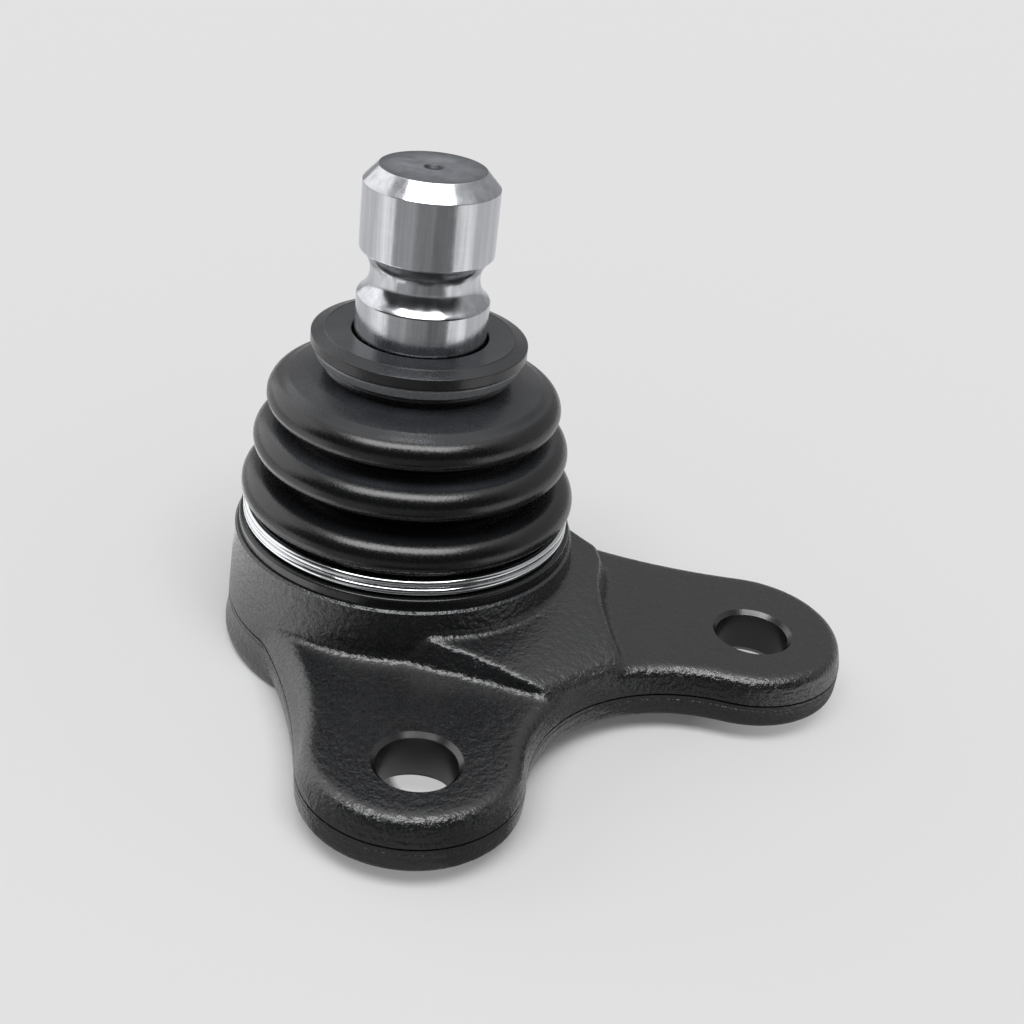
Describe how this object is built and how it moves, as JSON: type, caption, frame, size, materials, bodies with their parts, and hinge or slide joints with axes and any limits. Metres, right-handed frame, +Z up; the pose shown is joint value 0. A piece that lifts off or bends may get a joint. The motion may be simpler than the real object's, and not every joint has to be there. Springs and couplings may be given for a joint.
{
  "type": "suspension ball joint",
  "caption": "Suspension ball joint: a pinch stud with a groove, free to swing and turn in a forged socket with two bolt ears, sealed by a bellows boot.",
  "frame": {"origin": "centre of the flat base of the housing, on the axis of the socket", "axes": "+Z up the stud at rest; +X along the row of the two bolt holes, from the left ear to the right one; the ears point to -Y"},
  "size_m": [0.1021, 0.091, 0.0828],
  "materials": {
    "forged_steel": "black phosphated forging with a fine hammered skin",
    "pressed_steel": "bright pressed steel",
    "acetal": "natural acetal, moulded",
    "ground_steel": "turned and ground steel, bare",
    "boot_rubber": "moulded black chloroprene, satin",
    "phosphated_steel": "grey phosphated steel, satin",
    "spring_wire": "bright drawn spring wire"
  },
  "bodies": {
    "socket": {"housing": "forged_steel", "retaining_ring": "pressed_steel", "upper_bearing_seat": "acetal", "lower_bearing_seat": "acetal", "preload_spring": "pressed_steel", "boot_wire_ring": "spring_wire"},
    "boot": {"dust_boot": "boot_rubber"},
    "boot_top": {"neck_ring": "phosphated_steel"},
    "stud": {"ball_stud": "ground_steel"}
  },
  "joints": [
    {"name": "swing_plane", "type": "hinge", "parent": "socket", "child": "boot", "pos_m": [0, 0, 0.0196], "axis": [0, 0, 1], "continuous": true},
    {"name": "stud_swing", "type": "hinge", "parent": "boot", "child": "boot_top", "pos_m": [0, 0, 0.0196], "axis": [1, 0, 0], "range_deg": [-25, 25], "deforming": ["dust_boot"]},
    {"name": "stud_spin", "type": "hinge", "parent": "boot_top", "child": "stud", "pos_m": [0, 0, 0.0196], "axis": [0, 0, 1], "continuous": true}
  ]
}
